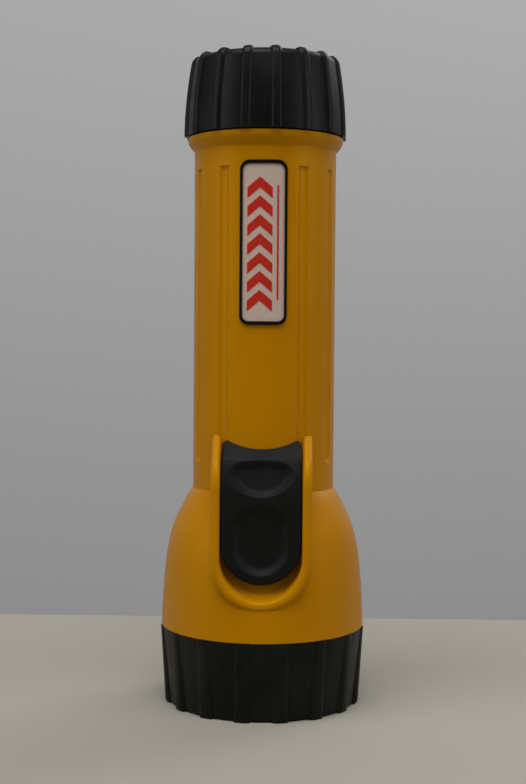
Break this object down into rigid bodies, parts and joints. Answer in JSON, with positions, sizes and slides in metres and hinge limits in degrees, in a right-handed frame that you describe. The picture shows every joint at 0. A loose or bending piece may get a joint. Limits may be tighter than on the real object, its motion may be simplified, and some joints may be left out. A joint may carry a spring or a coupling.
{
  "type": "two-cell hand torch",
  "caption": "Cylindrical hand torch with a flared lens head, ribbed screw-on lens ring and tail cap, and a thumb slide switch in a raised U guard.",
  "frame": {"origin": "on the torch's axis at the face of the lens ring, where it stands", "axes": "+Z along the barrel from lens to tail cap, -Y towards the switch and label"},
  "size_m": [0.059, 0.059, 0.1865],
  "materials": {
    "casing_yellow": "moulded polypropylene, fine satin texture",
    "moulding_black": "moulded plastic, satin",
    "slide_black": "moulded plastic, satin",
    "seal_rubber": "matt",
    "lens_clear": "clear polycarbonate",
    "reflector_mirror": "vacuum metallised",
    "contact_brass": "stamped",
    "spring_steel": "nickel plated",
    "lamp_aluminium": "machined",
    "emitter_yellow": "phosphor coat",
    "dome_clear": "clear silicone",
    "cell_steel": "nickel plated",
    "cell_paste": "pressed powder",
    "cell_sleeve": "shrink film",
    "badge_black": "gloss",
    "badge_white": "printed film",
    "badge_red": "printed ink",
    "badge_clear": "clear gloss resin"
  },
  "bodies": {
    "casing": {"body_casing": "casing_yellow", "ground_strip": "contact_brass", "badge_border": "badge_black", "badge_label": "badge_white", "badge_print": "badge_red", "badge_dome": "badge_clear", "cell_1_can": "cell_steel", "cell_1_sleeve": "cell_sleeve", "cell_1_positive_cap": "cell_steel", "cell_1_seal": "seal_rubber", "cell_1_core": "cell_paste", "cell_2_can": "cell_steel", "cell_2_sleeve": "cell_sleeve", "cell_2_positive_cap": "cell_steel", "cell_2_seal": "seal_rubber", "cell_2_core": "cell_paste"},
    "switch": {"slide_button": "slide_black", "switch_carriage": "moulding_black", "switch_contact": "contact_brass", "keeper_screw": "spring_steel"},
    "lens_unit": {"lens": "lens_clear", "lens_gasket": "seal_rubber", "reflector": "reflector_mirror", "lamp_contact_ring": "contact_brass", "lamp_retainer": "moulding_black", "lamp_heatsink": "lamp_aluminium", "led_board": "lamp_aluminium", "led_emitter": "emitter_yellow", "led_dome": "dome_clear", "lamp_base": "contact_brass", "lamp_insulator": "moulding_black", "lamp_tip": "contact_brass"},
    "lens_ring": {"lens_ring": "moulding_black"},
    "tail_contact": {"tail_contact_cup": "spring_steel", "tail_spring": "spring_steel"},
    "tail_cap": {"tail_cap": "moulding_black", "tail_cap_seal": "seal_rubber"}
  },
  "joints": [
    {"name": "switch_slide", "type": "slide", "parent": "casing", "child": "switch", "axis": [0, 0, -1], "range_m": [0, 0.003]},
    {"name": "lens_ring_advance", "type": "slide", "parent": "casing", "child": "lens_unit", "axis": [0, 0, -1], "range_m": [0, 0.006]},
    {"name": "lens_ring_turn", "type": "hinge", "parent": "lens_unit", "child": "lens_ring", "pos_m": [0, 0, 0.01], "axis": [0, 0, -1], "range_deg": [0, 720.01]},
    {"name": "tail_cap_advance", "type": "slide", "parent": "casing", "child": "tail_contact", "axis": [0, 0, 1], "range_m": [0, 0.006], "deforming": ["tail_spring"]},
    {"name": "tail_cap_turn", "type": "hinge", "parent": "tail_contact", "child": "tail_cap", "pos_m": [0, 0, 0.175], "axis": [0, 0, 1], "range_deg": [0, 720.01]}
  ],
  "couplings": [
    {"joint": "lens_ring_turn", "follows": "lens_ring_advance", "rad_per_m": 2094.4},
    {"joint": "tail_cap_turn", "follows": "tail_cap_advance", "rad_per_m": 2094.4}
  ]
}
